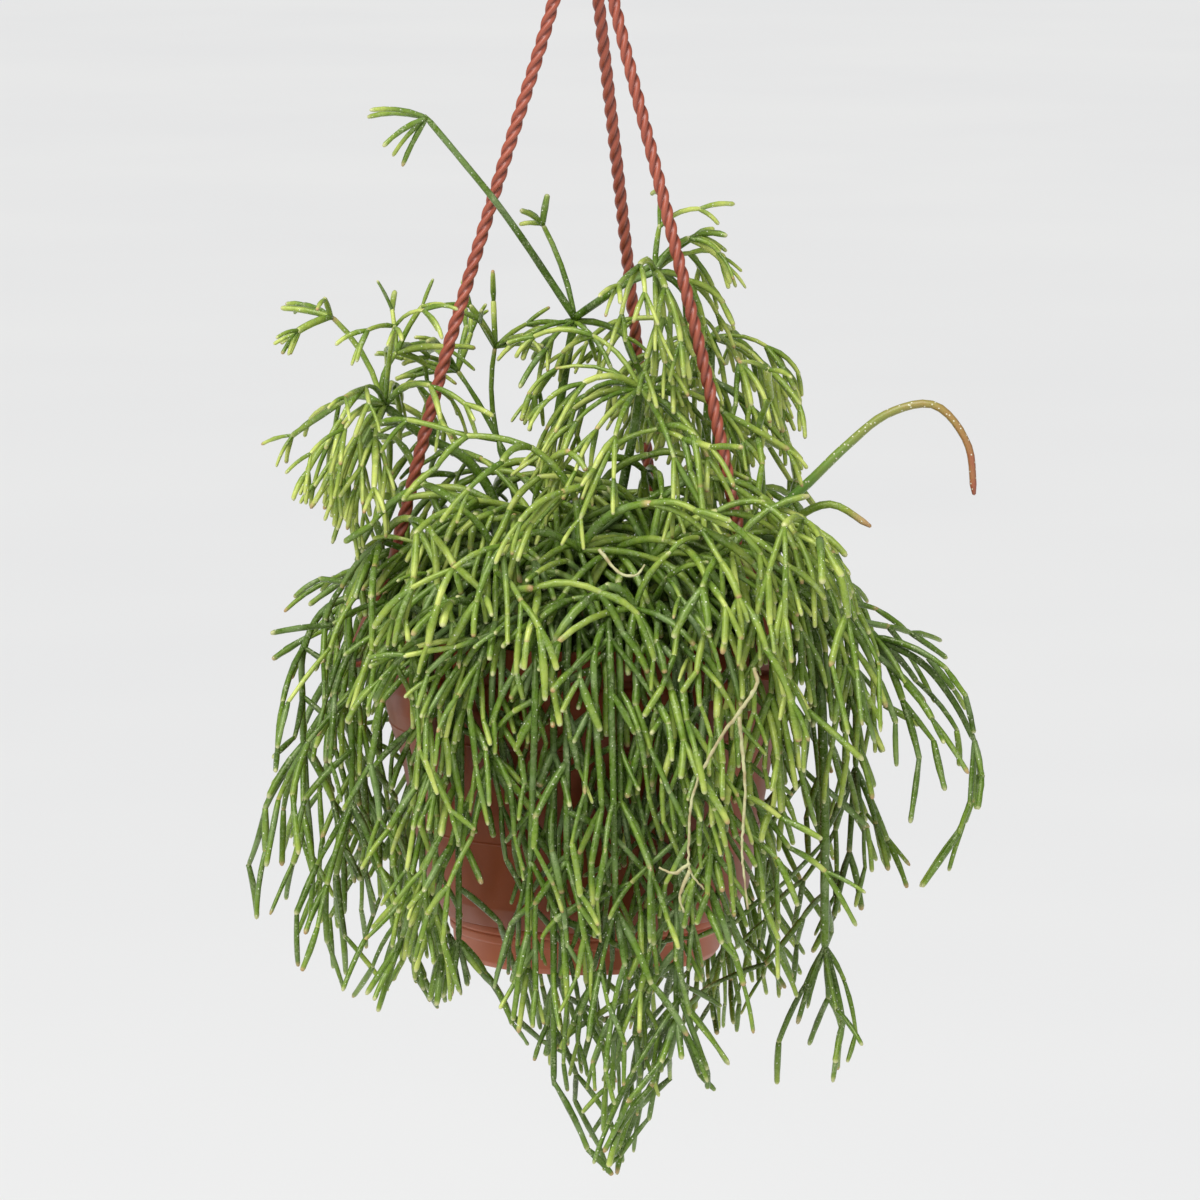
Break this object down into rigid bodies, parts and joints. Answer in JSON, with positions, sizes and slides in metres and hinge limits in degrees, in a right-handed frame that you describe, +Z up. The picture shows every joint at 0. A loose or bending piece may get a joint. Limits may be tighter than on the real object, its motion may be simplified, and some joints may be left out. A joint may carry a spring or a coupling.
{
  "type": "potted rhipsalis in a hanging pot",
  "caption": "Branching, drooping rhipsalis in a terracotta-coloured plastic hanging pot with a clip-on saucer and a three-armed twisted hanger.",
  "frame": {"origin": "the point inside the top of the hook's bend that bears on what the pot hangs from, on the pot's axis", "axes": "+Z up along the pot's axis, +X to the right and -Y to the front as in the picture"},
  "size_m": [0.3071, 0.2379, 0.5627],
  "materials": {
    "terracotta_plastic": "satin",
    "terracotta_saucer": "satin",
    "hanger_plastic": "satin",
    "potting_soil": "matte",
    "stem_green": "satin"
  },
  "bodies": {
    "root": {"fall_back_deep": "stem_green", "fall_back_left": "stem_green", "fall_back_low": "stem_green", "fall_back_mid": "stem_green", "fall_back_right": "stem_green", "fall_front_deep": "stem_green", "fall_front_high": "stem_green", "fall_front_left": "stem_green", "fall_front_left_deep": "stem_green", "fall_front_left_high": "stem_green", "fall_front_mid": "stem_green", "fall_front_mid_deep": "stem_green", "fall_front_mid_left": "stem_green", "fall_front_right": "stem_green", "fall_front_right_deep": "stem_green", "fall_front_right_high": "stem_green", "fall_left": "stem_green", "fall_left_back": "stem_green", "fall_left_front": "stem_green", "fall_right": "stem_green", "fall_right_back": "stem_green", "hanger_arm_back": "hanger_plastic", "hanger_arm_left": "hanger_plastic", "hanger_arm_right": "hanger_plastic", "hanger_hook": "hanger_plastic", "mound_back": "stem_green", "mound_back_left": "stem_green", "mound_back_right": "stem_green", "mound_front": "stem_green", "mound_front_left": "stem_green", "mound_front_right": "stem_green", "mound_left": "stem_green", "mound_right": "stem_green", "mound_rim_front": "stem_green", "pot": "terracotta_plastic", "saucer": "terracotta_saucer", "shoot_long": "stem_green", "shoot_short": "stem_green", "soil": "potting_soil", "spray_centre": "stem_green", "spray_left": "stem_green", "spray_left_back": "stem_green", "spray_right": "stem_green", "spray_right_back": "stem_green", "spray_right_low": "stem_green", "spray_right_mound": "stem_green", "spray_tall": "stem_green"}
  },
  "joints": []
}
